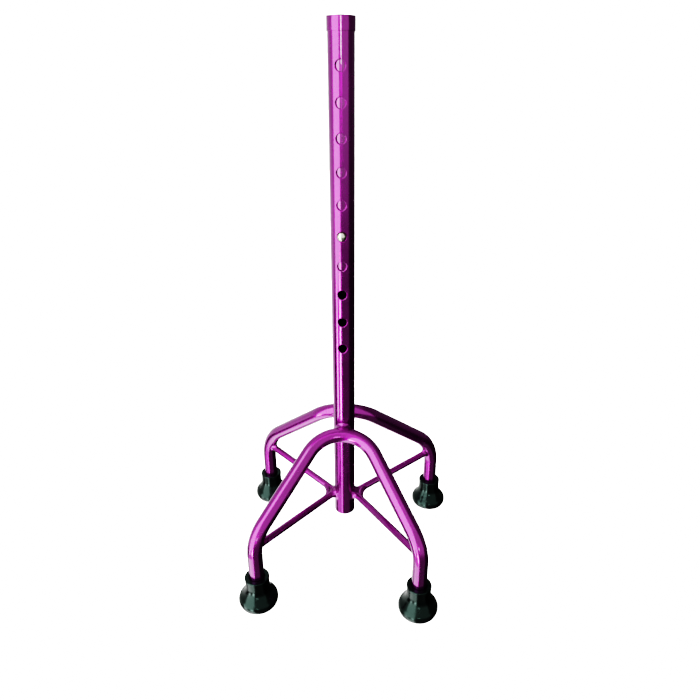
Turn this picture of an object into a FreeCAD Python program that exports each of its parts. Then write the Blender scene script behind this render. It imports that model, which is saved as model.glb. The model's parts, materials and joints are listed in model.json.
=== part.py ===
import FreeCAD, Part
import math
import os

import Sketcher
from FreeCAD import Placement, Rotation, Vector

# Lower section of a quad walking cane, in millimetres. +Z is up, -Y is the front, where the holes are.
# The origin is on the floor, under the middle of the footprint of the four tips.

doc = FreeCAD.newDocument("quad_cane")

# ---------------------------------------------------------------- driving dimensions

DIMENSIONS = [
    # outer tube and its height holes
    ("tube_diameter", 20.4), ("tube_wall", 1.2), ("tube_low_end", 40), ("tube_high_end", 486.4),
    ("hole_pitch", 25.4), ("hole_count", 10), ("hole_diameter", 7.9), ("lowest_hole", 227.4),
    # collar and guide bushing at the mouth of the outer tube
    ("collar_diameter", 21.6), ("collar_height", 10), ("collar_lip", 0.8), ("collar_mouth", 17.9),
    ("collar_round", 0.6),
    ("bushing_flange", 1.2), ("bushing_length", 20), ("bushing_clearance", 0.05),
    # inner tube
    ("inner_diameter", 17.2), ("inner_wall", 1.2), ("inner_low_end", 290), ("rest_hole", 6),
    ("socket_diameter", 15.2), ("socket_depth", 40),
    # glide in the lower end of the inner tube, and plug in the lower end of the outer tube
    ("glide_depth", 12), ("glide_rim", 3), ("glide_clearance", 0.05), ("glide_hole", 5), ("glide_round", 0.8),
    ("plug_depth", 14), ("plug_recess", 1), ("plug_wall", 2),
    # snap button and its leaf spring
    ("button_diameter", 7), ("button_reach", 2.8), ("button_dome", 1.9), ("button_foot", 4.9),
    ("button_foot_diameter", 9), ("button_foot_thickness", 0.9), ("button_clearance", 0.08),
    ("leaf_thickness", 0.6), ("leaf_width", 8), ("leaf_length", 24), ("leaf_bend", 1.6),
    # hoops: half width across the legs, reach of the legs from the tube's axis, and heights
    ("leg_diameter", 14), ("leg_wall", 1.2), ("leg_low_end", 8),
    ("front_half_width", 74.5), ("front_reach", 89), ("front_apex_height", 140.5),
    ("front_elbow_height", 74), ("front_arch_radius", 35), ("front_elbow_radius", 33),
    ("rear_half_width", 91), ("rear_reach", 67), ("rear_apex_height", 148),
    ("rear_elbow_height", 79), ("rear_arch_radius", 37), ("rear_elbow_radius", 46),
    ("hoop_cope", 0.8),
    # braces: a rod on each side, bent at the tube
    ("rod_diameter", 6.8), ("rod_bend_radius", 9), ("rod_cope", 0.8), ("rod_tube_height", 60.5),
    ("rod_front_height", 64), ("rod_rear_height", 70),
    # web inside the bend of each brace
    ("web_bend_radius", 19), ("web_diameter", 6),
    # weld fillets
    ("hoop_fillet", 3), ("rod_tube_fillet", 5.5), ("rod_leg_fillet", 3),
    # rubber tips and the steel washer under each leg
    ("tip_height", 31), ("tip_floor", 6.5), ("tip_sole_diameter", 31.8), ("tip_sole_round", 1.6),
    ("tip_edge_diameter", 34.6), ("tip_edge_height", 0.85), ("tip_flank_radius", 9.15),
    ("tip_bell_diameter", 36.8), ("tip_widest", 5.2), ("tip_bell_radius", 6.6),
    ("tip_shoulder_diameter", 32.54), ("tip_shoulder_height", 10.06), ("tip_blend_radius", 16),
    ("tip_neck_diameter", 22.2), ("tip_neck_height", 21.83),
    ("tip_lip", 0.35), ("tip_lip_height", 2.4), ("tip_lip_round", 1), ("tip_lip_top", 20.9),
    ("tip_mouth_diameter", 14.8), ("tip_mouth_depth", 0.6),
    ("washer_diameter", 13.4), ("washer_hole", 4),
]

sheet = doc.addObject("Spreadsheet::Sheet", "Dims")
for row, (alias, number) in enumerate(DIMENSIONS, start=1):
    sheet.set("A%d" % row, alias)
    sheet.set("B%d" % row, str(number))
    sheet.setAlias("B%d" % row, alias)
doc.recompute()

# The tube stands off the middle of the footprint, because the front legs reach further than the rear ones.
TUBE_Y = "(Dims.front_reach - Dims.rear_reach) / 2"
LEG_Y = "(Dims.front_reach + Dims.rear_reach) / 2"
TUBE_BORE = "(Dims.tube_diameter / 2 - Dims.tube_wall)"
INNER_BORE = "(Dims.inner_diameter / 2 - Dims.inner_wall)"
BUTTON_HEIGHT = "(Dims.lowest_hole + (Dims.hole_count - Dims.rest_hole) * Dims.hole_pitch)"
TOP = "(Dims.tube_high_end + Dims.bushing_flange + Dims.collar_lip)"


def value(expression):
    """The number that an expression over the sheet gives."""
    result = sheet.evalExpression(expression)
    return float(getattr(result, "Value", result))


# ---------------------------------------------------------------- helpers for bodies and sketches


def new_body(label, x="0", y="0", z="0", rotation=None):
    body = doc.addObject("PartDesign::Body", label)
    body.Label = label
    body.Placement = Placement(Vector(), rotation or Rotation())
    for axis, expression in zip("xyz", (x, y, z)):
        body.setExpression("Placement.Base." + axis, expression)
    return body


def new_sketch(body, role, name):
    plane = next(f for f in body.Origin.OriginFeatures if f.Role == role)
    sketch = body.newObject("Sketcher::SketchObject", name)
    sketch.AttachmentSupport = (plane, [""])
    sketch.MapMode = "FlatFace"
    return sketch


def bind(sketch, kind, *arguments):
    """Add a dimension whose last argument is an expression over the sheet."""
    *places, expression = arguments
    index = sketch.addConstraint(Sketcher.Constraint(kind, *places, value(expression)))
    sketch.setExpression("Constraints[%d]" % index, expression)


def add_circle(sketch, x, y, radius):
    centre = Vector(value(x), value(y), 0)
    index = sketch.addGeometry(Part.Circle(centre, Vector(0, 0, 1), value(radius)), False)
    bind(sketch, "DistanceX", -1, 1, index, 3, x)
    bind(sketch, "DistanceY", -1, 1, index, 3, y)
    bind(sketch, "Radius", index, radius)


def arc_between(start, end, radius, turn):
    """An arc that leaves start and reaches end, turning left or right on the way."""
    chord = end - start
    side = Vector(-chord.y, chord.x, 0).normalize() * (1 if turn == "left" else -1)
    centre = (start + end) / 2 + side * math.sqrt(radius**2 - (chord.Length / 2) ** 2)
    first, last = (start, end) if turn == "left" else (end, start)
    angles = [math.atan2(p.y - centre.y, p.x - centre.x) for p in (first, last)]
    return Part.ArcOfCircle(Part.Circle(centre, Vector(0, 0, 1), radius), *angles)


def add_outline(sketch, corners):
    """Close an outline through its corners, given as expressions (x, y).

    A corner with two more entries, a radius and "left" or "right", starts an arc to the next corner.
    """
    places = [Vector(value(c[0]), value(c[1]), 0) for c in corners]
    ends = []
    for i, corner in enumerate(corners):
        start, end = places[i], places[(i + 1) % len(corners)]
        if len(corner) == 2:
            index = sketch.addGeometry(Part.LineSegment(start, end), False)
            ends.append((index, 1, 2))
        else:
            radius, turn = corner[2:]
            index = sketch.addGeometry(arc_between(start, end, value(radius), turn), False)
            ends.append((index, 1, 2) if turn == "left" else (index, 2, 1))
    for i, corner in enumerate(corners):
        index, first, last = ends[i]
        following, its_first, _ = ends[(i + 1) % len(corners)]
        sketch.addConstraint(Sketcher.Constraint("Coincident", index, last, following, its_first))
        bind(sketch, "DistanceX", -1, 1, index, first, corner[0])
        bind(sketch, "DistanceY", -1, 1, index, first, corner[1])
        if len(corner) == 4:
            bind(sketch, "Radius", index, corner[2])


def turned_body(label, corners, x="0", y="0", z="0", rotation=None):
    """A body of revolution: the corners are radius and height."""
    body = new_body(label, x, y, z, rotation)
    sketch = new_sketch(body, "XZ_Plane", label + "_profile")
    add_outline(sketch, corners)
    turned = body.newObject("PartDesign::Revolution", label + "_turned")
    turned.Profile = sketch
    turned.ReferenceAxis = (sketch, ["V_Axis"])
    turned.Angle = 360
    return body


def front_pocket(body, label, height, radius):
    """Cut a round hole through the front wall of a tube body."""
    sketch = new_sketch(body, "XZ_Plane", label + "_sketch")
    add_circle(sketch, "0", height, radius)
    pocket = body.newObject("PartDesign::Pocket", label)
    pocket.Profile = sketch
    pocket.Reversed = True
    pocket.setExpression("Length", "Dims.tube_diameter")
    doc.recompute()
    return pocket


# ---------------------------------------------------------------- the telescopic tubes


def make_outer_tube():
    body = new_body("outer_tube", y=TUBE_Y, z="Dims.tube_low_end")
    ring = new_sketch(body, "XY_Plane", "outer_tube_section")
    add_circle(ring, "0", "0", "Dims.tube_diameter / 2")
    add_circle(ring, "0", "0", TUBE_BORE)
    pad = body.newObject("PartDesign::Pad", "outer_tube_length")
    pad.Profile = ring
    pad.setExpression("Length", "Dims.tube_high_end - Dims.tube_low_end")
    doc.recompute()
    lowest = "Dims.lowest_hole - Dims.tube_low_end"
    hole = front_pocket(body, "height_hole", lowest, "Dims.hole_diameter / 2")
    row = body.newObject("PartDesign::LinearPattern", "height_holes")
    row.Originals = [hole]
    row.Direction = (hole.Profile[0], ["V_Axis"])
    row.setExpression("Length", "Dims.hole_pitch * (Dims.hole_count - 1)")
    row.setExpression("Occurrences", "Dims.hole_count")
    body.Tip = row
    return body


def make_top_collar():
    outer = "Dims.collar_diameter / 2"
    bore = "Dims.tube_diameter / 2"
    lip = "Dims.collar_height - Dims.collar_lip"
    corners = [
        (bore, "0"), (outer, "0"),
        (outer, "Dims.collar_height - Dims.collar_round", "Dims.collar_round", "left"),
        (outer + " - Dims.collar_round", "Dims.collar_height"),
        ("Dims.collar_mouth / 2", "Dims.collar_height"),
        ("Dims.collar_mouth / 2", lip), (bore, lip),
    ]
    return turned_body("top_collar", corners, y=TUBE_Y, z=TOP + " - Dims.collar_height")


def make_guide_bushing():
    bore = "Dims.inner_diameter / 2 + Dims.bushing_clearance"
    corners = [
        (bore, "0"), (TUBE_BORE, "0"), (TUBE_BORE, "Dims.bushing_length"),
        ("Dims.tube_diameter / 2", "Dims.bushing_length"),
        ("Dims.tube_diameter / 2", "Dims.bushing_length + Dims.bushing_flange"),
        (bore, "Dims.bushing_length + Dims.bushing_flange"),
    ]
    return turned_body("guide_bushing", corners, y=TUBE_Y, z="Dims.tube_high_end - Dims.bushing_length")


def make_inner_tube():
    length = TOP + " - Dims.inner_low_end"
    socket = "Dims.socket_diameter / 2"
    corners = [
        (INNER_BORE, "0"), ("Dims.inner_diameter / 2", "0"), ("Dims.inner_diameter / 2", length),
        (socket, length), (socket, length + " - Dims.socket_depth"),
        (INNER_BORE, length + " - Dims.socket_depth"),
    ]
    body = turned_body("inner_tube", corners, y=TUBE_Y, z="Dims.inner_low_end")
    doc.recompute()
    radius = "Dims.button_diameter / 2 + Dims.button_clearance"
    front_pocket(body, "button_hole", BUTTON_HEIGHT + " - Dims.inner_low_end", radius)
    return body


def make_inner_tube_glide():
    rim = TUBE_BORE + " - Dims.glide_clearance"
    hole = "Dims.glide_hole / 2"
    top = "Dims.glide_rim + Dims.glide_depth"
    corners = [
        (hole, "0"), (rim + " - Dims.glide_round", "0", "Dims.glide_round", "left"),
        (rim, "Dims.glide_round"), (rim, "Dims.glide_rim"),
        (INNER_BORE, "Dims.glide_rim"), (INNER_BORE, top), (hole, top),
    ]
    return turned_body("inner_tube_glide", corners, y=TUBE_Y, z="Dims.inner_low_end - Dims.glide_rim")


def make_tube_end_plug():
    inside = TUBE_BORE + " - Dims.plug_wall"
    corners = [
        ("0", "0"), (TUBE_BORE, "0"), (TUBE_BORE, "Dims.plug_depth"), (inside, "Dims.plug_depth"),
        (inside, "Dims.plug_wall"), ("0", "Dims.plug_wall"),
    ]
    return turned_body("tube_end_plug", corners, y=TUBE_Y, z="Dims.tube_low_end + Dims.plug_recess")


# ---------------------------------------------------------------- snap button and leaf spring


def make_snap_button():
    """Turned about its own axis, which points out of the front of the tube."""
    foot = "Dims.button_foot"
    shank = foot + " + Dims.button_foot_thickness"
    reach = "Dims.tube_diameter / 2 + Dims.button_reach"
    edge = "Dims.button_diameter / 2"
    sphere = "(({e}) * ({e}) + {h} * {h}) / (2 * {h})".format(e=edge, h="Dims.button_dome")
    corners = [
        ("0", foot), ("Dims.button_foot_diameter / 2", foot), ("Dims.button_foot_diameter / 2", shank),
        (edge, shank), (edge, reach + " - Dims.button_dome", sphere, "left"), ("0", reach),
    ]
    forward = Rotation(Vector(1, 0, 0), 90)
    return turned_body("snap_button", corners, y=TUBE_Y, z=BUTTON_HEIGHT, rotation=forward)


def make_button_spring():
    """A V-shaped leaf: its bend is low in the tube, one arm holds the button, the other the rear wall."""
    thickness = value("Dims.leaf_thickness")
    width = value("Dims.leaf_width")
    front = thickness / 2 - value("Dims.button_foot")
    back = math.sqrt(value(INNER_BORE) ** 2 - (width / 2) ** 2) - thickness
    bend = value("Dims.leaf_bend")
    low = -value("Dims.leaf_length")
    high = value("Dims.button_foot_diameter / 2")
    points = [(front, high), (front, -high), (-bend, low), (bend, low), (back, -high), (back, high)]
    places = [Vector(-width / 2, y, z) for y, z in points]
    edges = [Part.LineSegment(a, b).toShape() for a, b in zip(places, places[1:])]
    edges[2] = Part.Arc(places[2], Vector(-width / 2, 0, low - bend), places[3]).toShape()
    strip = Part.Wire(edges).makeOffset2D(thickness / 2)
    spring = doc.addObject("Part::Feature", "button_spring")
    spring.Shape = Part.Face(strip).extrude(Vector(width, 0, 0))
    spring.Placement = Placement(Vector(0, value(TUBE_Y), value(BUTTON_HEIGHT)), Rotation())
    return spring


# ---------------------------------------------------------------- bent tubes


def bend_wire(points, radii):
    """Straight runs through the points, joined by tangent arcs of the given radii."""
    edges = []
    start = points[0]
    for before, corner, after, radius in zip(points, points[1:], points[2:], radii):
        back = (before - corner).normalize()
        ahead = (after - corner).normalize()
        half_turn = (math.pi - back.getAngle(ahead)) / 2
        into = corner + back * (radius * math.tan(half_turn))
        out = corner + ahead * (radius * math.tan(half_turn))
        bisector = (back + ahead).normalize()
        middle = corner + bisector * (radius / math.cos(half_turn) - radius)
        edges.append(Part.LineSegment(start, into).toShape())
        edges.append(Part.Arc(into, middle, out).toShape())
        start = out
    edges.append(Part.LineSegment(start, points[-1]).toShape())
    return Part.Wire(edges)


def rod_along(wire, radius):
    """A round rod along a wire of lines and arcs: a cylinder for each line, a ring segment for each arc."""
    pieces = []
    for edge in wire.OrderedEdges:
        start = edge.valueAt(edge.FirstParameter)
        heading = edge.tangentAt(edge.FirstParameter)
        section = Part.Face(Part.Wire(Part.makeCircle(radius, start, heading)))
        if edge.Curve.TypeId == "Part::GeomLine":
            pieces.append(section.extrude(edge.valueAt(edge.LastParameter) - start))
        else:
            turn = math.degrees(edge.LastParameter - edge.FirstParameter)
            pieces.append(section.revolve(edge.Curve.Center, edge.Curve.Axis, turn))
    return pieces[0].fuse(pieces[1:]).removeSplitter()


def hoop_wire(end):
    """Centre line of one hoop, from the foot of its left leg over the apex to the foot of the right leg."""
    forward = ENDS[end]
    half_width = value("Dims.%s_half_width" % end)
    arch = value("Dims.%s_arch_radius" % end)
    elbow = value("Dims.%s_elbow_radius" % end)
    elbow_height = value("Dims.%s_elbow_height" % end)
    touch = value("(Dims.tube_diameter + Dims.leg_diameter) / 2 - Dims.hoop_cope")
    apex = Vector(0, value(TUBE_Y) + forward * touch, value("Dims.%s_apex_height" % end))
    leg_y = forward * value(LEG_Y)
    # the arch and its sides lie in a plane that leans from the apex down to the two elbows
    lean = Vector(0, leg_y - apex.y, elbow_height - apex.z)
    depth = lean.Length
    lean.normalize()
    # the straight sides leave the elbows and touch the arch's circle, and would meet above it at the peak
    reach = math.hypot(half_width, depth - arch)
    tangent = math.atan2(depth - arch, half_width) - math.acos(arch / reach)
    peak = apex + lean * (arch + arch / math.sin(tangent))
    elbows = [Vector(sign * half_width, leg_y, elbow_height) for sign in (-1, 1)]
    feet = [Vector(sign * half_width, leg_y, value("Dims.leg_low_end")) for sign in (-1, 1)]
    return bend_wire([feet[0], elbows[0], peak, elbows[1], feet[1]], [elbow, arch, elbow])


def brace_corners(side):
    """Front leg, the corner of the bend at the tube, and rear leg."""
    front = Vector(side * value("Dims.front_half_width"), -value(LEG_Y), value("Dims.rod_front_height"))
    rear = Vector(side * value("Dims.rear_half_width"), value(LEG_Y), value("Dims.rod_rear_height"))
    touch = value("(Dims.tube_diameter + Dims.rod_diameter) / 2 - Dims.rod_cope")
    bend = value("Dims.rod_bend_radius")
    corner = Vector(0, value(TUBE_Y), value("Dims.rod_tube_height"))
    # the corner of the bend is moved in until the bend itself just reaches the tube's side
    inset = 0.0
    for _ in range(20):
        corner.x = side * (touch - inset)
        half_turn = (math.pi - (front - corner).getAngle(rear - corner)) / 2
        inset = bend / math.cos(half_turn) - bend
    return [front, corner, rear]


def brace_wire(side, bend):
    """Centre line along one brace: front leg, bend at the tube, rear leg."""
    return bend_wire(brace_corners(side), [value("Dims." + bend)])


def tube_blank():
    """The outer tube's outside as a plain solid, to fit other parts against."""
    radius = value("Dims.tube_diameter / 2")
    low = value("Dims.tube_low_end")
    height = value("Dims.tube_high_end") - low
    return Part.makeCylinder(radius, height, Vector(0, value(TUBE_Y), low))


def feature(label, shape):
    result = doc.addObject("Part::Feature", label)
    result.Label = label
    result.Shape = shape
    result.Placement = Placement()
    return result


LEG_RADIUS = value("Dims.leg_diameter / 2")
ROD_RADIUS = value("Dims.rod_diameter / 2")
SIDES = {"left": -1, "right": 1}
ENDS = {"front": -1, "rear": 1}
TOUCHING = 1e-4
SEAM_REACH = 30
LARGEST_WELD = 400
TUBE_BLANK = tube_blank()
HOOP_BLANKS = {end: rod_along(hoop_wire(end), LEG_RADIUS) for end in ENDS}
ROD_BLANKS = {
    side: rod_along(brace_wire(sign, "rod_bend_radius"), ROD_RADIUS) for side, sign in SIDES.items()
}


def make_hoop(end):
    bore = rod_along(hoop_wire(end), LEG_RADIUS - value("Dims.leg_wall"))
    return feature(end + "_hoop", HOOP_BLANKS[end].cut([bore, TUBE_BLANK]))


def make_brace(side):
    rod = ROD_BLANKS[side].cut([TUBE_BLANK, HOOP_BLANKS["front"], HOOP_BLANKS["rear"]])
    return feature(side + "_brace", rod)


def make_weld(label, first, second, near, fillet):
    """The fillet that fills the corner where two solids meet, close to a point."""
    joined = first.fuse(second)
    spot = Part.Vertex(near)
    seam = []
    for edge in joined.Edges:
        middle = Part.Vertex(edge.valueAt((edge.FirstParameter + edge.LastParameter) / 2))
        on_both = all(s.Shells[0].distToShape(middle)[0] < TOUCHING for s in (first, second))
        if on_both and middle.distToShape(spot)[0] < SEAM_REACH:
            seam.append(edge)
    bead = joined.makeFillet(value("Dims." + fillet), seam).cut([first, second])
    solid = max(bead.Solids, key=lambda s: s.Volume)
    return feature(label, solid)


def make_web(side, sign, weld):
    """The web that fills the inside of the brace's bend."""
    arc = [e for e in brace_wire(sign, "web_bend_radius").Edges if isinstance(e.Curve, Part.Circle)]
    wider = rod_along(Part.Wire(arc), value("Dims.web_diameter / 2")).toNurbs()
    web = wider.cut([ROD_BLANKS[side], TUBE_BLANK, weld.Shape])
    return feature(side + "_brace_web", max(web.Solids, key=lambda s: s.Volume))


def make_side_welds(side, sign):
    """The web of one brace, and its three fillets: at the tube and at each of its two legs."""
    rod = ROD_BLANKS[side]
    near = Vector(sign * value("Dims.tube_diameter / 2"), value(TUBE_Y), value("Dims.rod_tube_height"))
    made = [make_weld(side + "_brace_weld", TUBE_BLANK, rod, near, "rod_tube_fillet")]
    made.append(make_web(side, sign, made[0]))
    for end, forward in ENDS.items():
        near = Vector(
            sign * value("Dims.%s_half_width" % end),
            forward * value(LEG_Y),
            value("Dims.rod_%s_height" % end),
        )
        label = "%s_%s_leg_weld" % (end, side)
        made.append(make_weld(label, HOOP_BLANKS[end], rod, near, "rod_leg_fillet"))
    return made


def make_welds():
    made = []
    for end, forward in ENDS.items():
        touch = value("Dims.tube_diameter / 2")
        near = Vector(0, value(TUBE_Y) + forward * touch, value("Dims.%s_apex_height" % end))
        made.append(make_weld(end + "_hoop_weld", TUBE_BLANK, HOOP_BLANKS[end], near, "hoop_fillet"))
    left = make_side_welds("left", SIDES["left"])
    # the right side is the mirror image of the left
    right = [
        feature(item.Label.replace("left", "right"), item.Shape.mirror(Vector(), Vector(1, 0, 0)))
        for item in left
    ]
    return made + left + right


# ---------------------------------------------------------------- rubber tips


def make_tip(end, side, sign, forward):
    neck = "Dims.tip_neck_diameter / 2"
    lip = neck + " + Dims.tip_lip"
    mouth = "Dims.tip_mouth_diameter / 2"
    socket = "Dims.leg_diameter / 2"
    rim = "Dims.tip_height"
    corners = [
        ("0", "0"),
        ("Dims.tip_sole_diameter / 2", "0", "Dims.tip_sole_round", "left"),
        ("Dims.tip_edge_diameter / 2", "Dims.tip_edge_height", "Dims.tip_flank_radius", "left"),
        ("Dims.tip_bell_diameter / 2", "Dims.tip_widest", "Dims.tip_bell_radius", "left"),
        ("Dims.tip_shoulder_diameter / 2", "Dims.tip_shoulder_height", "Dims.tip_blend_radius", "right"),
        (neck, "Dims.tip_neck_height"),
        (neck, rim + " - Dims.tip_lip_height"),
        (lip, rim + " - Dims.tip_lip_height + Dims.tip_lip"),
        (lip, rim + " - Dims.tip_lip_round", "Dims.tip_lip_round", "left"),
        ("Dims.tip_lip_top / 2", rim),
        (mouth, rim),
        (socket, rim + " - Dims.tip_mouth_depth"),
        (socket, "Dims.tip_floor"),
        ("0", "Dims.tip_floor"),
    ]
    x = "%d * Dims.%s_half_width" % (sign, end)
    y = "%d * %s" % (forward, LEG_Y)
    return turned_body("%s_%s_tip" % (end, side), corners, x=x, y=y)


def make_washer(end, side, sign, forward):
    outer = "Dims.washer_diameter / 2"
    hole = "Dims.washer_hole / 2"
    thick = "Dims.leg_low_end - Dims.tip_floor"
    corners = [(hole, "0"), (outer, "0"), (outer, thick), (hole, thick)]
    x = "%d * Dims.%s_half_width" % (sign, end)
    y = "%d * %s" % (forward, LEG_Y)
    return turned_body("%s_%s_washer" % (end, side), corners, x=x, y=y, z="Dims.tip_floor")


# ---------------------------------------------------------------- build, check and write

parts = [
    make_outer_tube(),
    make_top_collar(),
    make_guide_bushing(),
    make_inner_tube(),
    make_inner_tube_glide(),
    make_tube_end_plug(),
    make_snap_button(),
    make_button_spring(),
    make_hoop("front"),
    make_hoop("rear"),
    make_brace("left"),
    make_brace("right"),
]
parts += make_welds()
for end, forward in ENDS.items():
    for side, sign in SIDES.items():
        parts.append(make_tip(end, side, sign, forward))
        parts.append(make_washer(end, side, sign, forward))

doc.recompute()

for item in doc.Objects:
    if "Invalid" in item.State or "Error" in item.State:
        raise RuntimeError("%s did not compute: %s" % (item.Label, item.State))

os.makedirs("parts", exist_ok=True)
for item in parts:
    shape = item.Shape
    if shape.isNull() or not shape.isValid() or len(shape.Solids) != 1:
        raise RuntimeError("%s has no single valid solid" % item.Label)
    if item.Label.endswith(("_weld", "_web")) and shape.Volume > LARGEST_WELD:
        raise RuntimeError("%s holds more than its fillet" % item.Label)
    shape.exportStep(os.path.join("parts", item.Label + ".step"))
    box = shape.BoundBox
    print("%-22s %9.1f mm3  z %7.2f to %7.2f" % (item.Label, shape.Volume, box.ZMin, box.ZMax))
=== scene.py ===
import json
import math

import bpy
from mathutils import Euler, Matrix, Vector


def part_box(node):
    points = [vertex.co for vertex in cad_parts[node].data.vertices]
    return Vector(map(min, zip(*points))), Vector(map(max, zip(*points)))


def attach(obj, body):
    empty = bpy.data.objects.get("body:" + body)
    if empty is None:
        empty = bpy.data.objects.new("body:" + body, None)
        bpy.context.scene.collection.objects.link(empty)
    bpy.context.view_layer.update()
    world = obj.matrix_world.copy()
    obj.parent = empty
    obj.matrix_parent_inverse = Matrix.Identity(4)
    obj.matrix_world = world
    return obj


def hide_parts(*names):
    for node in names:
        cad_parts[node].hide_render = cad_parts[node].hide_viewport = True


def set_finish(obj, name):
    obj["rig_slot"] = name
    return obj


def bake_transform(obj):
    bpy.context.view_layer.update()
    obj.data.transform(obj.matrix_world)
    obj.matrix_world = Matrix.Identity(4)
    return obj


# Lower section of a quad walking cane, in metres. +Z is up, -Y is the front, where the height holes are.

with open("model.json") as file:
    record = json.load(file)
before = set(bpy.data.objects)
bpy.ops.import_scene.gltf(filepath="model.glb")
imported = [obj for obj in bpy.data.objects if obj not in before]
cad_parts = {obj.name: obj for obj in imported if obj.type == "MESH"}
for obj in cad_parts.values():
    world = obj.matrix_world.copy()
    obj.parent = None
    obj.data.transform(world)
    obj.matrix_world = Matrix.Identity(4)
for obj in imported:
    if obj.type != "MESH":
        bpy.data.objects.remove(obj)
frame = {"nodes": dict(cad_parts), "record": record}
bpy.context.view_layer.update()

MM = 0.001
SCENE = bpy.context.scene

# Tolerances of the mesh code.
TINY = 1e-7           # shorter than this is no length at all
SLIVER = 1e-6         # a plain length of tube shorter than this is left out
SAME_WAY = 1e-4       # normals closer than this point the same way
STRAIGHT = 0.01       # a corner that turns less than this, in radians, stays sharp
CORNER_STEP = 0.16    # radians from point to point round a corner


# ---------------------------------------------------------------- places, from the frame


def middle(node):
    low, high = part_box(node)
    return (low + high) / 2


TUBE_AXIS = Vector((middle("outer_tube").x, middle("outer_tube").y, 0))
TUBE_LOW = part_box("outer_tube")[0].z
TUBE_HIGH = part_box("outer_tube")[1].z
TUBE_RADIUS = 10.2 * MM
TUBE_WALL = 1.2 * MM
TUBE_RIM = 0.65 * MM
HOLE_RADIUS = 3.95 * MM
HOLE_PITCH = 25.4 * MM
HOLE_COUNT = 10
HOLES_BELOW_BUTTON = 4
BUTTON = middle("snap_button")
LOWEST_HOLE = BUTTON.z - HOLES_BELOW_BUTTON * HOLE_PITCH
INNER_RADIUS = 8.6 * MM
INNER_WALL = 1.2 * MM
INNER_RIM = 0.3 * MM
INNER_HOLE_RADIUS = 3.58 * MM
SOCKET_RADIUS = 7.6 * MM
SOCKET_DEPTH = 40 * MM
TIPS = ["front_left", "front_right", "rear_left", "rear_right"]


# ---------------------------------------------------------------- mesh helpers


class Surface:
    """Vertices with their exact normals, and faces, gathered into one mesh."""

    def __init__(self):
        self.places, self.normals, self.faces = [], [], []

    def ring(self, places, normals):
        first = len(self.places)
        self.places += [Vector(p) for p in places]
        self.normals += [Vector(n).normalized() for n in normals]
        return list(range(first, len(self.places)))

    def bridge(self, a, b, closed=True):
        count = len(a)
        for i in range(count if closed else count - 1):
            j = (i + 1) % count
            self.face(a[i], a[j], b[j], b[i])

    def face(self, *corners):
        """A face turned so that it looks the way its vertices' normals do."""
        corners = list(dict.fromkeys(corners))
        points = [self.places[c] for c in corners]
        across = (points[1] - points[0]).cross(points[2] - points[0])
        if len(points) == 4:
            across += (points[2] - points[0]).cross(points[3] - points[0])
        wanted = sum((self.normals[c] for c in corners), Vector())
        self.faces.append(corners if across.dot(wanted) >= 0 else corners[::-1])

    def piece(self, name, body, slot, node):
        mesh = bpy.data.meshes.new(name)
        mesh.from_pydata(self.places, [], self.faces)
        mesh.shade_smooth()
        mesh.normals_split_custom_set_from_vertices(self.normals)
        made = bpy.data.objects.new(name, mesh)
        SCENE.collection.objects.link(made)
        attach(made, body)
        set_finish(made, slot)
        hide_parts(node)
        return made


def rounded(corners):
    """A profile of (radius, height, corner round) as points with their outward normals.

    The normals point to the right of the way that the profile runs. A corner left sharp gives two points,
    one for each side's normal.
    """
    places = [Vector((r, h)) for r, h, _ in corners]
    points = []
    for i, (_, _, size) in enumerate(corners):
        here = places[i]
        before = (here - places[i - 1]).normalized() if i else None
        after = (places[i + 1] - here).normalized() if i + 1 < len(places) else None
        if before is None or after is None:
            way = after if before is None else before
            points.append((here, Vector((way.y, -way.x))))
            continue
        out_before = Vector((before.y, -before.x))
        out_after = Vector((after.y, -after.x))
        turn = before.angle_signed(after)
        if size == 0 or abs(turn) < STRAIGHT:
            points += [(here, out_before), (here, out_after)]
            continue
        back = size * math.tan(abs(turn) / 2)
        start = here - before * back
        bulge = 1 if turn < 0 else -1
        centre = start - out_before * size * bulge
        steps = max(3, int(abs(turn) / CORNER_STEP))
        for k in range(steps + 1):
            spin = Matrix.Rotation(-turn * k / steps, 2)
            out = spin @ out_before
            points.append((centre + out * size * bulge, out))
    return points


def arc(centre, radius, first, last, steps, inward=False):
    """Profile points along an arc, from the angle first to last in degrees, with their outward normals.

    With inward, the surface is the hollow side of the arc.
    """
    points = []
    for k in range(steps + 1):
        angle = math.radians(first + (last - first) * k / steps)
        out = Vector((math.cos(angle), math.sin(angle)))
        points.append((Vector(centre) + out * radius, -out if inward else out))
    return points


def lathe(points, origin, count, axis="Z"):
    """A surface of revolution through profile points (place, normal), where a place is (radius, height).

    The height runs up Z, or with axis="front" out of the front, along -Y.
    """
    surface = Surface()
    previous = last = None
    for place, normal in points:
        if last and (place - last[0]).length < TINY and (normal - last[1]).length < SAME_WAY:
            continue
        last = (place, normal)
        places, normals = [], []
        for k in range(count):
            angle = math.tau * k / count
            c, s = math.cos(angle), math.sin(angle)
            if axis == "Z":
                places.append(origin + Vector((place.x * c, place.x * s, place.y)))
                normals.append((normal.x * c, normal.x * s, normal.y))
            else:
                places.append(origin + Vector((place.x * c, -place.y, place.x * s)))
                normals.append((normal.x * c, -normal.y, normal.x * s))
        if place.x < TINY:
            places, normals = places[:1], normals[:1]
        ring = surface.ring(places, normals)
        if previous and min(len(ring), len(previous)) == 1:
            fan, tip = (previous, ring[0]) if len(ring) == 1 else (ring, previous[0])
            for i in range(count):
                surface.face(fan[i], fan[(i + 1) % count], tip)
        elif previous and (surface.places[ring[0]] - surface.places[previous[0]]).length > TINY:
            surface.bridge(previous, ring)
        previous = ring
    return surface


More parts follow.
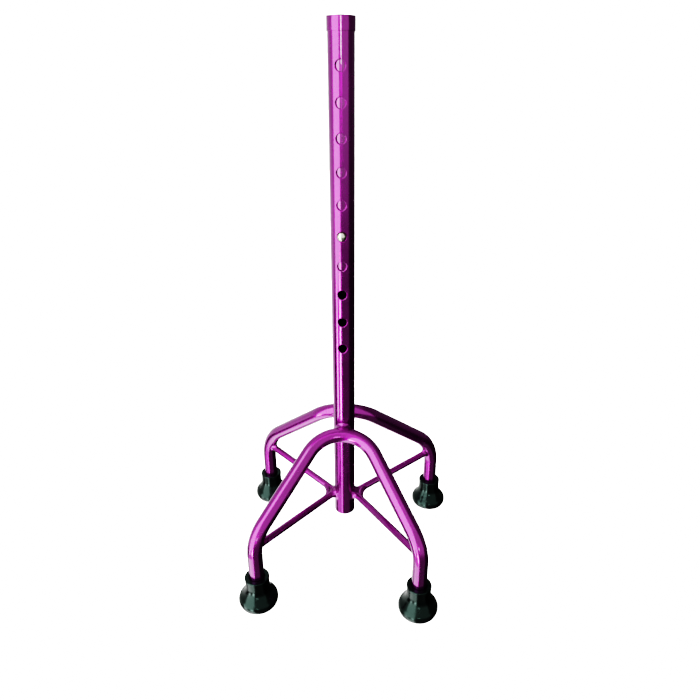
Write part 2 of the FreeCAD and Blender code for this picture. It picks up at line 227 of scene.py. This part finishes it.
def holed_tube(radius, wall, low, high, holes, hole_radius, edge, half_cell, bores=None):
    """A round tube with a row of holes through its front wall, with rounded rims at the holes and the ends.

    Around each hole the wall is a patch, half_cell high above and below the hole's middle, whose rays run
    from its border to the hole. bores, as (low, high, radius), stand for the plain lengths of the inside.
    """
    surface = Surface()
    around, across, up = 128, 16, 12
    ray_shares = (0, 0.3, 0.55, 0.75, 0.9, 1)
    rim_steps = 5
    wall_rows, bore_rows = 4, 2
    step = math.tau / around
    every = [step * k for k in range(around)]
    sides = [step * k for k in range(across, around - across + 1)]
    column = [step * k for k in range(-across, across + 1)]

    def spot(reach, angle, z):
        return TUBE_AXIS + Vector((reach * math.sin(angle), -reach * math.cos(angle), z))

    def way(angle, out=1):
        return Vector((out * math.sin(angle), -out * math.cos(angle), 0))

    def skin(reach, out, z_low, z_high, rows):
        """A plain length of the whole surface."""
        rings = []
        for j in range(rows + 1):
            z = z_low + (z_high - z_low) * j / rows
            rings.append(surface.ring([spot(reach, a, z) for a in every], [way(a, out) for a in every]))
        for a, b in zip(rings, rings[1:]):
            surface.bridge(a, b)

    def cell(reach, out, centre, opening):
        """The surface over one hole's height: the plain sides and the holed patch.

        Gives the angles of the patch's rays, and the ring of vertices around the hole.
        """
        heights = [centre + half_cell * (j / up - 1) for j in range(2 * up + 1)]
        rings = [
            surface.ring([spot(reach, a, z) for a in sides], [way(a, out) for a in sides]) for z in heights
        ]
        for a, b in zip(rings, rings[1:]):
            surface.bridge(a, b, closed=False)
        border = [(a, centre - half_cell) for a in column]
        border += [(column[-1], z) for z in heights[1:-1]]
        border += [(a, centre + half_cell) for a in reversed(column)]
        border += [(column[0], z) for z in reversed(heights[1:-1])]
        rays = [math.atan2(z - centre, a * reach) for a, z in border]
        hole = [(math.asin(opening * math.cos(t) / reach), centre + opening * math.sin(t)) for t in rays]
        rings = []
        for share in ray_shares:
            spots = [
                (a + (ha - a) * share, z + (hz - z) * share) for (a, z), (ha, hz) in zip(border, hole)
            ]
            places = [spot(reach, a, z) for a, z in spots]
            rings.append(surface.ring(places, [way(a, out) for a, _ in spots]))
        for a, b in zip(rings, rings[1:]):
            surface.bridge(a, b)
        return rays, rings[-1]

    def hole_rim(rays, outside, inside):
        """The rounded rim on the outside of a hole, and the straight wall from it to the inside."""
        previous = outside
        for k in range(1, rim_steps + 1):
            turn = math.pi / 2 * k / rim_steps
            places, normals = [], []
            for t, start in zip(rays, outside):
                ray = Vector((math.cos(t), 0, math.sin(t)))
                out = surface.normals[start]
                sunk = ray * edge * math.sin(turn) + out * edge * (1 - math.cos(turn))
                places.append(surface.places[start] - sunk)
                normals.append(out * math.cos(turn) - ray * math.sin(turn))
            ring = surface.ring(places, normals)
            surface.bridge(previous, ring)
            previous = ring
        places = [surface.places[i] for i in inside]
        normals = [surface.normals[i] for i in previous]
        surface.bridge(previous, surface.ring(places, normals))

    def end_rim(z, sign, reach):
        """The end of the tube at z, rounded from the outside over to the inside."""
        previous = None
        for k in range(2 * rim_steps + 1):
            outer_half = k <= rim_steps
            turn = math.pi / 2 * (k if outer_half else k - rim_steps) / rim_steps
            c, s = math.cos(turn), math.sin(turn)
            if outer_half:
                place, normal = radius - edge * (1 - c), (c, s)
                height = z + sign * edge * (s - 1)
            else:
                place, normal = reach + edge * (1 - s), (-s, c)
                height = z + sign * edge * (c - 1)
            ring = surface.ring(
                [spot(place, a, height) for a in every],
                [way(a) * normal[0] + Vector((0, 0, sign * normal[1])) for a in every],
            )
            if previous:
                surface.bridge(previous, ring)
            previous = ring

    inner = radius - wall
    for centre in holes:
        rays, outside = cell(radius, 1, centre, hole_radius + edge)
        _, inside = cell(inner, -1, centre, hole_radius)
        hole_rim(rays, outside, inside)
    stops = [low + edge] + [h + s * half_cell for h in holes for s in (-1, 1)] + [high - edge]
    plain = [(a, b) for a, b in zip(stops[::2], stops[1::2]) if b - a > SLIVER]
    for a, b in plain:
        skin(radius, 1, a, b, wall_rows)
    if bores:
        for a, b, reach in bores:
            skin(reach, -1, a, b, bore_rows)
    else:
        for a, b in plain:
            skin(inner, -1, a, b, wall_rows)
    end_rim(low, -1, inner)
    end_rim(high, 1, bores[-1][2] if bores else inner)
    return surface


# ---------------------------------------------------------------- node helpers


class Graph:
    """Short calls for building one node tree."""

    noise_low, noise_high = 0.3, 0.7      # most of a noise lies between these

    def __init__(self, tree):
        self.tree = tree

    def feed(self, socket, entry):
        """Link a socket to another one, or set its value."""
        if isinstance(entry, bpy.types.NodeSocket):
            self.tree.links.new(entry, socket)
        else:
            socket.default_value = entry

    def node(self, kind, inputs=None, **settings):
        made = self.tree.nodes.new("ShaderNode" + kind)
        for name, setting in settings.items():
            setattr(made, name, setting)
        for name, entry in (inputs or {}).items():
            self.feed(made.inputs[name], entry)
        return made

    def math(self, operation, first, second=0.0):
        return self.node("Math", {0: first, 1: second}, operation=operation).outputs[0]

    def ramp(self, entry, low, high, to_low=0.0, to_high=1.0):
        """A smooth step: to_low where the entry is below low, to_high where it is above high."""
        inputs = {"Value": entry, "From Min": low, "From Max": high, "To Min": to_low, "To Max": to_high}
        return self.node("MapRange", inputs, interpolation_type="SMOOTHSTEP").outputs[0]

    def spread(self, noise, to_low, to_high):
        """A noise brought to the range from to_low to to_high."""
        return self.ramp(noise, self.noise_low, self.noise_high, to_low, to_high)

    def noise(self, vector, scale, detail, roughness=0.5):
        inputs = {"Vector": vector, "Scale": scale, "Detail": detail, "Roughness": roughness}
        return self.node("TexNoise", inputs).outputs[0]

    def mix(self, share, first, second):
        made = self.node("Mix", data_type="RGBA")
        for name, entry in (("Factor", share), ("A", first), ("B", second)):
            self.feed(next(s for s in made.inputs if s.name == name and s.enabled), entry)
        return next(s for s in made.outputs if s.enabled)

    def bump(self, height, strength, distance, normal=None):
        inputs = {"Height": height, "Strength": strength, "Distance": distance}
        if normal is not None:
            inputs["Normal"] = normal
        return self.node("Bump", inputs).outputs[0]

    def place(self):
        return self.node("TexCoord").outputs["Object"]

    def stretched(self, vector, scale):
        return self.node("Mapping", {"Vector": vector, "Scale": scale}).outputs[0]


def new_material(name):
    material = bpy.data.materials.new(name)
    material.use_nodes = True
    graph = Graph(material.node_tree)
    shader = next(n for n in material.node_tree.nodes if n.type == "BSDF_PRINCIPLED")
    return material, graph, shader


def wire(graph, shader, **entries):
    """Feed a shader's sockets, each named with _ for a space."""
    for name, entry in entries.items():
        graph.feed(shader.inputs[name.replace("_", " ")], entry)


# ---------------------------------------------------------------- materials


def paint_material(name, coat_ior):
    """Candy purple paint: a fine metal flake under a clear, slightly rippled lacquer."""
    material, g, shader = new_material(name)
    deep = (0.270, 0.0028, 0.236, 1)
    vivid = (0.320, 0.0037, 0.282, 1)
    glint = (0.34, 0.02, 0.30, 1)
    place = g.place()
    cloud = g.noise(place, scale=38, detail=3)
    wear = g.noise(place, scale=90, detail=4)
    ripple = g.noise(place, scale=260, detail=2)
    cells = g.node("TexVoronoi", {"Vector": place, "Scale": 2600}).outputs["Color"]
    flake = g.node("SeparateColor", {"Color": cells}).outputs[0]
    colour = g.mix(g.ramp(cloud, low=0.35, high=0.65), deep, vivid)
    wire(
        g, shader,
        Base_Color=g.mix(g.ramp(flake, low=0.90, high=1.0), colour, glint),
        Metallic=0.93,
        Roughness=g.spread(wear, 0.23, 0.28),
        Normal=g.bump(flake, strength=0.04, distance=0.06 * MM),
        Coat_Weight=1.0,
        Coat_Roughness=0.035,
        Coat_IOR=coat_ior,
        Coat_Normal=g.bump(ripple, strength=0.10, distance=0.12 * MM),
    )
    return material


def rubber_material():
    """Moulded black rubber with a worn gloss: a fine pore, faint flow marks and a little dust."""
    material, g, shader = new_material("moulded_black_rubber")
    black = (0.0020, 0.0022, 0.0023, 1)
    dusty = (0.008, 0.0085, 0.008, 1)
    dust_share = 0.35
    place = g.place()
    pores = g.noise(place, scale=900, detail=4, roughness=0.6)
    flow = g.noise(g.stretched(place, (60, 60, 14)), scale=1, detail=3)
    dust = g.ramp(g.noise(place, scale=130, detail=5, roughness=0.65), low=0.52, high=0.80)
    film = g.math("MULTIPLY", dust, dust_share)
    wire(
        g, shader,
        Base_Color=g.mix(film, black, dusty),
        Roughness=g.ramp(g.math("ADD", flow, film), low=0.3, high=1.0, to_low=0.18, to_high=0.32),
        Specular_Tint=(0.62, 1.0, 0.90, 1),
        IOR=1.46,
        Normal=g.bump(
            flow, strength=0.12, distance=0.4 * MM, normal=g.bump(pores, strength=0.10, distance=0.10 * MM)
        ),
    )
    return material


def button_material():
    """Polished, lightly brushed stainless steel with a warm tone."""
    material, g, shader = new_material("polished_button_steel")
    bright = (0.88, 0.89, 0.74, 1)
    stained = (0.74, 0.73, 0.62, 1)
    place = g.place()
    brush = g.noise(g.stretched(place, (1600, 200, 260)), scale=1, detail=3)
    stain = g.noise(place, scale=420, detail=3)
    wire(
        g, shader,
        Base_Color=g.mix(g.ramp(stain, low=0.35, high=0.75), bright, stained),
        Metallic=1.0,
        Roughness=g.spread(brush, 0.12, 0.26),
        Normal=g.bump(brush, strength=0.06, distance=0.05 * MM),
    )
    return material


def spring_material():
    """Rolled spring steel, drawn along its length, with a trace of heat tint."""
    material, g, shader = new_material("rolled_spring_steel")
    steel = (0.42, 0.42, 0.43, 1)
    straw = (0.36, 0.31, 0.24, 1)
    place = g.place()
    grain = g.noise(g.stretched(place, (2400, 300, 90)), scale=1, detail=4)
    tint = g.noise(place, scale=110, detail=3)
    wire(
        g, shader,
        Base_Color=g.mix(g.ramp(tint, low=0.4, high=0.75), steel, straw),
        Metallic=1.0,
        Roughness=g.spread(grain, 0.24, 0.40),
        Normal=g.bump(grain, strength=0.10, distance=0.05 * MM),
    )
    return material


def washer_material():
    """Zinc-plated steel with a faint spangle."""
    material, g, shader = new_material("zinc_plated_steel")
    bright = (0.62, 0.63, 0.65, 1)
    dull = (0.50, 0.51, 0.52, 1)
    place = g.place()
    spangle = g.node("TexVoronoi", {"Vector": place, "Scale": 700}).outputs["Distance"]
    wire(
        g, shader,
        Base_Color=g.mix(g.ramp(spangle, low=0.1, high=0.7), bright, dull),
        Metallic=1.0,
        Roughness=g.spread(g.noise(place, scale=300, detail=3), 0.30, 0.45),
        Normal=g.bump(spangle, strength=0.05, distance=0.04 * MM),
    )
    return material


def nylon_material():
    """Moulded black nylon: a satin skin with fine grain."""
    material, g, shader = new_material("moulded_nylon")
    black = (0.020, 0.020, 0.022, 1)
    charcoal = (0.030, 0.030, 0.033, 1)
    place = g.place()
    grain = g.noise(place, scale=1500, detail=3, roughness=0.6)
    cloud = g.noise(place, scale=160, detail=3)
    wire(
        g, shader,
        Base_Color=g.mix(g.ramp(cloud, low=0.35, high=0.7), black, charcoal),
        Roughness=g.spread(cloud, 0.42, 0.55),
        Normal=g.bump(grain, strength=0.20, distance=0.06 * MM),
    )
    return material


def floor_material():
    """Pale matt studio floor."""
    material, g, shader = new_material("pale_studio_floor")
    pale = (0.86, 0.86, 0.86, 1)
    paler = (0.88, 0.88, 0.88, 1)
    cloud = g.noise(g.place(), scale=3, detail=3)
    wire(
        g, shader,
        Base_Color=g.mix(cloud, pale, paler),
        Roughness=g.spread(cloud, 0.7, 0.8),
        Specular_IOR_Level=0.2,
    )
    return material


MATERIALS = {
    "purple_paint": paint_material("candy_purple_paint", coat_ior=1.62),
    "rubber": rubber_material(),
    "button_steel": button_material(),
    "spring_steel": spring_material(),
    "washer_steel": washer_material(),
    "nylon": nylon_material(),
}
# The inner tube has a glossier lacquer than the rest of the paint.
OWN_MATERIALS = {"sliding_inner_tube": paint_material("polished_purple_paint", coat_ior=1.9)}


# ---------------------------------------------------------------- pieces


def make_outer_tube():
    holes = [LOWEST_HOLE + k * HOLE_PITCH for k in range(HOLE_COUNT)]
    surface = holed_tube(
        TUBE_RADIUS, TUBE_WALL, TUBE_LOW, TUBE_HIGH, holes, HOLE_RADIUS, TUBE_RIM, HOLE_PITCH / 2
    )
    return surface.piece("holed_outer_tube", "base", "purple_paint", "outer_tube")


def make_inner_tube():
    """The sliding tube: its bore is wider at the top, where it is the socket for a handle shaft."""
    low, high = (corner.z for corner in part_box("inner_tube"))
    half_cell = 9 * MM
    bore = INNER_RADIUS - INNER_WALL
    step = high - SOCKET_DEPTH
    bores = [
        (low + INNER_RIM, BUTTON.z - half_cell, bore),
        (BUTTON.z + half_cell, step, bore),
        (step, high - INNER_RIM, SOCKET_RADIUS),
    ]
    surface = holed_tube(
        INNER_RADIUS, INNER_WALL, low, high, [BUTTON.z], INNER_HOLE_RADIUS, INNER_RIM, half_cell, bores
    )
    return surface.piece("sliding_inner_tube", "shaft", "purple_paint", "inner_tube")


def make_top_collar():
    low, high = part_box("top_collar")
    radius = (high.x - low.x) / 2
    height = high.z - low.z
    mouth = 8.95 * MM
    lip = 0.8 * MM
    foot_round, top_round, mouth_round = 0.25 * MM, 0.6 * MM, 0.3 * MM
    profile = rounded([
        (TUBE_RADIUS, 0, 0), (radius, 0, foot_round), (radius, height, top_round),
        (mouth, height, mouth_round), (mouth, height - lip, 0),
    ])
    surface = lathe(profile, Vector((TUBE_AXIS.x, TUBE_AXIS.y, low.z)), count=128)
    return surface.piece("mouth_collar", "base", "purple_paint", "top_collar")


def make_button():
    """Domed pin on a wider foot, turned about the way out of the front."""
    low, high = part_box("snap_button")
    foot_radius = (high.x - low.x) / 2
    foot = TUBE_AXIS.y - high.y
    tip = TUBE_AXIS.y - low.y
    pin = 3.5 * MM
    dome, dome_steps = 1.9 * MM, 16
    shank = foot + 0.9 * MM
    foot_round = 0.2 * MM
    seam = 0.02 * MM      # the band in which the pin's normals turn into the dome's
    sphere = (pin * pin + dome * dome) / (2 * dome)
    profile = rounded([
        (0, foot, 0), (foot_radius, foot, foot_round), (foot_radius, shank, foot_round), (pin, shank, 0),
        (pin, tip - dome - seam, 0),
    ])
    start = math.asin(pin / sphere)
    for k in range(dome_steps + 1):
        angle = start * (1 - k / dome_steps)
        place = Vector((sphere * math.sin(angle), tip - sphere * (1 - math.cos(angle))))
        profile.append((place, Vector((math.sin(angle), math.cos(angle)))))
    surface = lathe(profile, Vector((TUBE_AXIS.x, TUBE_AXIS.y, BUTTON.z)), count=64, axis="front")
    return surface.piece("domed_button", "button", "button_steel", "snap_button")


def sole_corners(sole):
    """The underside of a tip, from its middle out: raised rings between shallow grooves."""
    groove, slope, soft = 0.5 * MM, 0.3 * MM, 0.2 * MM
    rings = ((3.0 * MM, 5.0 * MM), (7.0 * MM, 9.0 * MM), (11.0 * MM, 13.0 * MM))
    last = 14.3 * MM
    corners = [(0, groove, 0)]
    for inner, outer in rings:
        corners += [(inner, groove, soft), (inner + slope, 0, soft)]
        corners += [(outer, 0, soft), (outer + slope, groove, soft)]
    return corners + [(last, groove, soft), (last + slope, 0, soft), (sole, 0, 0)]


def make_tip(name):
    """Rubber foot: ringed sole, squat bell, concave blend, straight neck and a rim that grips the leg."""
    node = name + "_tip"
    low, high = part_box(node)
    top = high.z
    bell = (high.x - low.x) / 2
    sole, edge = 15.9 * MM, 1.6 * MM
    widest, flank = 5.2 * MM, 9.15 * MM
    flank_start = 0.85 * MM
    round_top, blend, neck = 6.6 * MM, 16.0 * MM, 11.1 * MM
    lip = neck + 0.35 * MM
    lip_start, lip_full = top - 2.45 * MM, top - 2.05 * MM
    leg, chamfer, grip = 7.02 * MM, 0.5 * MM, 6 * MM
    mouth = top - 0.7 * MM
    neck_round, small_round, lip_round, chamfer_round = 0.5 * MM, 0.3 * MM, 0.95 * MM, 0.4 * MM

    profile = rounded(sole_corners(sole))[:-1]
    lean = math.degrees(math.asin((widest - flank_start) / flank))
    profile += arc((sole, edge), edge, -90, -lean, steps=8)
    profile += arc((bell - flank, widest), flank, -lean, 0, steps=8)
    centre = Vector((bell - round_top, widest))
    hollow = Vector((neck + blend, 0))
    hollow.y = widest + math.sqrt((round_top + blend) ** 2 - (hollow.x - centre.x) ** 2)
    end = math.degrees(math.atan2(hollow.y - centre.y, hollow.x - centre.x))
    profile += arc(centre, round_top, 0, end, steps=20)
    profile += arc(hollow, blend, end + 180, 180, steps=10, inward=True)
    profile += rounded([
        (neck, hollow.y, 0), (neck, lip_start, neck_round), (lip, lip_full, small_round),
        (lip, top, lip_round), (leg + chamfer, top, chamfer_round), (leg, mouth, small_round),
        (leg, top - grip, 0),
    ])[1:]
    origin = Vector(((low.x + high.x) / 2, (low.y + high.y) / 2, 0))
    surface = lathe(profile, origin, count=128)
    return surface.piece(name + "_rubber_foot", "base", "rubber", node)


def make_spring():
    """V-shaped leaf: one arm behind the button, a round bend below, the other arm on the rear wall."""
    low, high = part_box("button_spring")
    half_width = (high.x - low.x) / 2
    thick = 0.6 * MM
    top = high.z
    arms = 9 * MM
    front, rear = low.y + thick / 2, high.y - thick / 2
    bend, bend_steps = 1.6 * MM, 12
    spacing = 0.8 * MM
    axis = TUBE_AXIS.y
    bottom = low.z + thick / 2 + bend
    line = [Vector((front, top)), Vector((front, top - arms)), Vector((axis - bend, bottom))]
    for k in range(1, bend_steps):
        angle = math.pi + math.pi * k / bend_steps
        line.append(Vector((axis + bend * math.cos(angle), bottom + bend * math.sin(angle))))
    line += [Vector((axis + bend, bottom)), Vector((rear, top - arms)), Vector((rear, top))]
    dense = []
    for a, b in zip(line, line[1:]):
        count = max(1, int((b - a).length / spacing))
        dense += [a + (b - a) * k / count for k in range(count)]
    dense.append(line[-1])
    verts, faces = [], []
    for i, here in enumerate(dense):
        back, ahead = dense[max(i - 1, 0)], dense[min(i + 1, len(dense) - 1)]
        along = (ahead - back).normalized()
        side = Vector((-along.y, along.x)) * thick / 2
        for x in (-half_width, half_width):
            for s in (-1, 1):
                spot = here + side * s
                verts.append((TUBE_AXIS.x + x, spot.x, spot.y))
        if i:
            a, b = 4 * (i - 1), 4 * i
            for p, q in ((0, 1), (1, 3), (3, 2), (2, 0)):
                faces.append((a + p, a + q, b + q, b + p))
    last = 4 * (len(dense) - 1)
    faces += [(0, 2, 3, 1), (last, last + 1, last + 3, last + 2)]
    mesh = bpy.data.meshes.new("leaf_spring")
    mesh.from_pydata(verts, [], faces)
    mesh.update()
    made = bpy.data.objects.new("leaf_spring", mesh)
    SCENE.collection.objects.link(made)
    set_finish(made, "spring_steel")
    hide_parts("button_spring")
    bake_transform(made)
    return made


def make_pieces():
    made = [make_outer_tube(), make_inner_tube(), make_top_collar(), make_button(), make_spring()]
    made += [make_tip(name) for name in TIPS]
    for piece in made:
        material = OWN_MATERIALS.get(piece.name, MATERIALS[piece["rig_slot"]])
        piece.data.materials.append(material)


def dress_nodes():
    """Give each CAD node that still shows its procedural material."""
    for part in frame["record"]["subparts"]:
        node = frame["nodes"][part["node"]]
        for index in range(len(node.data.materials)):
            node.data.materials[index] = MATERIALS[part["material_slot"]]


# ---------------------------------------------------------------- studio


def make_stage():
    """Pale floor that curves up into a round wall, in no reflection and throwing no light on the object."""
    floor, bend, wall_top = 2.6, 1.0, 4.0
    bend_steps = 16
    points = [(Vector((r, 0)), Vector((0, 1))) for r in (0, 0.4, 1.2, floor)]
    for k in range(1, bend_steps + 1):
        angle = math.pi / 2 * k / bend_steps
        c, s = math.cos(angle), math.sin(angle)
        points.append((Vector((floor + bend * s, bend * (1 - c))), Vector((-s, c))))
    points.append((Vector((floor + bend, wall_top)), Vector((-1, 0))))
    surface = lathe(points, Vector((0, 0, 0)), count=96)
    mesh = bpy.data.meshes.new("studio_floor")
    mesh.from_pydata(surface.places, [], surface.faces)
    mesh.shade_smooth()
    mesh.materials.append(floor_material())
    stage = bpy.data.objects.new("studio_floor", mesh)
    SCENE.collection.objects.link(stage)
    stage.visible_glossy = False
    stage.visible_diffuse = False
    return stage


def area_light(name, place, target, size, power, only=None):
    """A square soft box that the gloss doesn't mirror.

    With only, it lights that one object, and nothing else shades it.
    """
    light = bpy.data.lights.new(name, "AREA")
    light.shape = "RECTANGLE"
    light.size = light.size_y = size
    light.energy = power
    made = bpy.data.objects.new(name, light)
    SCENE.collection.objects.link(made)
    made.location = place
    made.rotation_euler = (Vector(target) - Vector(place)).to_track_quat("-Z", "Y").to_euler()
    made.visible_glossy = False
    made.visible_camera = False
    if only:
        lit = bpy.data.collections.new(name + "_receivers")
        lit.objects.link(only)
        made.light_linking.receiver_collection = lit
        made.light_linking.blocker_collection = lit


def make_lights(floor):
    area_light("overhead", place=(0, 0, 3.0), target=(0, 0, 0), size=3.2, power=40)
    area_light("left_fill", place=(-1.6, -1.0, 1.3), target=(0, 0, 0.2), size=1.4, power=26)
    area_light("floor_light", place=(0, 0, 3.2), target=(0, 0, 0), size=4.0, power=530, only=floor)


def make_world():
    """What the gloss mirrors: a tall window at the front left with bright bands below it, and a dim room.

    Each pane is a soft-edged area of a strength, between two bearings and two tilts in degrees. Bearing 0 is
    the front and 90 is the right; tilt 0 is level and 90 is straight up.
    """
    world = bpy.data.worlds.new("studio_surroundings")
    SCENE.world = world
    world.use_nodes = True
    world.cycles.sampling_method = "AUTOMATIC"
    g = Graph(world.node_tree)
    background = next(n for n in world.node_tree.nodes if n.type == "BACKGROUND")
    direction = g.node("TexCoord").outputs["Generated"]
    x, y, z = g.node("SeparateXYZ", {0: direction}).outputs
    degrees = 180 / math.pi
    turn = g.math("ARCTAN2", x, g.math("MULTIPLY", y, -1.0))
    bearing = g.math("MULTIPLY", turn, degrees)
    tilt = g.math("MULTIPLY", g.math("ARCSINE", z), degrees)

    def band(entry, low, high, soft_low, soft_high):
        rise = g.ramp(entry, low - soft_low, low + soft_low)
        fall = g.ramp(entry, high - soft_high, high + soft_high, 1.0, 0.0)
        return g.math("MULTIPLY", rise, fall)

    def pane(strength, bearings, tilts, soft, soft_tilt):
        area = g.math("MULTIPLY", band(bearing, *bearings, *soft), band(tilt, *tilts, *soft_tilt))
        return g.math("MULTIPLY", area, strength)

    panes = [
        # The window.
        pane(3.7, (-72, -16), (-20, 62), soft=(3, 1), soft_tilt=(3, 2)),
        # Below the sill: a bright band, a second one, and the dark wall between them.
        pane(6.2, (-69, -52), (-33, -20), soft=(1.5, 1.5), soft_tilt=(1.5, 4)),
        pane(11.0, (-33, -19), (-34, -20), soft=(1.5, 1), soft_tilt=(2, 4)),
        pane(0.4, (-51, -33), (-34, -20), soft=(2, 2), soft_tilt=(2, 4)),
        # The second band's lower end, and the wall beside it.
        pane(3.5, (-30, -20), (-42, -34), soft=(1.5, 1), soft_tilt=(1, 2)),
        pane(0.9, (-80, -30), (-42.5, -34), soft=(4, 2), soft_tilt=(1, 2)),
        # The pale floor in front of the window.
        pane(2.6, (-92, -18), (-85, -42.5), soft=(6, 1.5), soft_tilt=(6, 1)),
        # A small bright pane just above level, to the right of the window.
        pane(12.0, (-1, 8), (0.5, 5), soft=(1, 1), soft_tilt=(0.4, 2)),
        # The room in front, and its floor.
        pane(0.74, (-16, 67), (-8, 70), soft=(2, 2), soft_tilt=(10, 10)),
        pane(0.16, (-16, 64), (-80, -5), soft=(2, 3), soft_tilt=(6, 10)),
        # The room on the left and behind, and its floor.
        pane(0.60, (-180, -72), (-8, 80), soft=(0.5, 3), soft_tilt=(3, 6)),
        pane(0.85, (-180, -76), (-20, -8), soft=(0.5, 3), soft_tilt=(4, 4)),
        pane(0.85, (-180, -102), (-80, -20), soft=(0.5, 3), soft_tilt=(6, 4)),
        # The dark side of the room, on the right and behind.
        pane(0.10, (64, 180), (-10, 60), soft=(3, 0.5), soft_tilt=(10, 10)),
    ]
    total = panes[0]
    for entry in panes[1:]:
        total = g.math("ADD", total, entry)
    ceiling_low, ceiling_high, ceiling_strength = 45, 70, 0.35
    everywhere = 0.02
    ceiling = g.math("MULTIPLY", g.ramp(tilt, ceiling_low, ceiling_high), ceiling_strength)
    total = g.math("ADD", g.math("ADD", total, ceiling), everywhere)
    g.feed(background.inputs["Strength"], total)
    g.feed(background.inputs["Color"], (1.0, 0.99, 0.98, 1))


def make_camera():
    down, heading, roll = 25.39, 4.12, -0.17        # degrees
    data = bpy.data.cameras.new("camera")
    data.lens, data.sensor_width = 30.72, 36
    camera = bpy.data.objects.new("camera", data)
    SCENE.collection.objects.link(camera)
    camera.location = (0.0412, -0.4794, 0.4552)
    aim = Euler((math.radians(90 - down), 0, math.radians(heading))).to_matrix()
    camera.rotation_euler = (aim @ Matrix.Rotation(math.radians(roll), 3, "Z")).to_euler()
    SCENE.camera = camera


def set_tones():
    """High contrast, with a white that the pale floor just reaches, so that it doesn't eat into the edges.

    Up to the knee, the curve takes the brightness down by as many stops as the exposure brings it back up.
    From there it climbs steeply, so that the floor's brightness comes out as pure white.
    """
    knee, white, stops = 1.2, 1.7, 4
    view = SCENE.view_settings
    view.view_transform = "Filmic"
    view.look = "Very High Contrast"
    view.use_curve_mapping = True
    tones = view.curve_mapping
    tones.white_level = (white, white, white)
    _, _, _, combined = tones.curves
    combined.points.new(knee / white, knee / 2 ** stops)
    for point in combined.points:
        point.handle_type = "VECTOR"
    tones.update()
    view.exposure = stops


make_pieces()
dress_nodes()
make_lights(make_stage())
make_world()
make_camera()
set_tones()

bpy.context.view_layer.update()
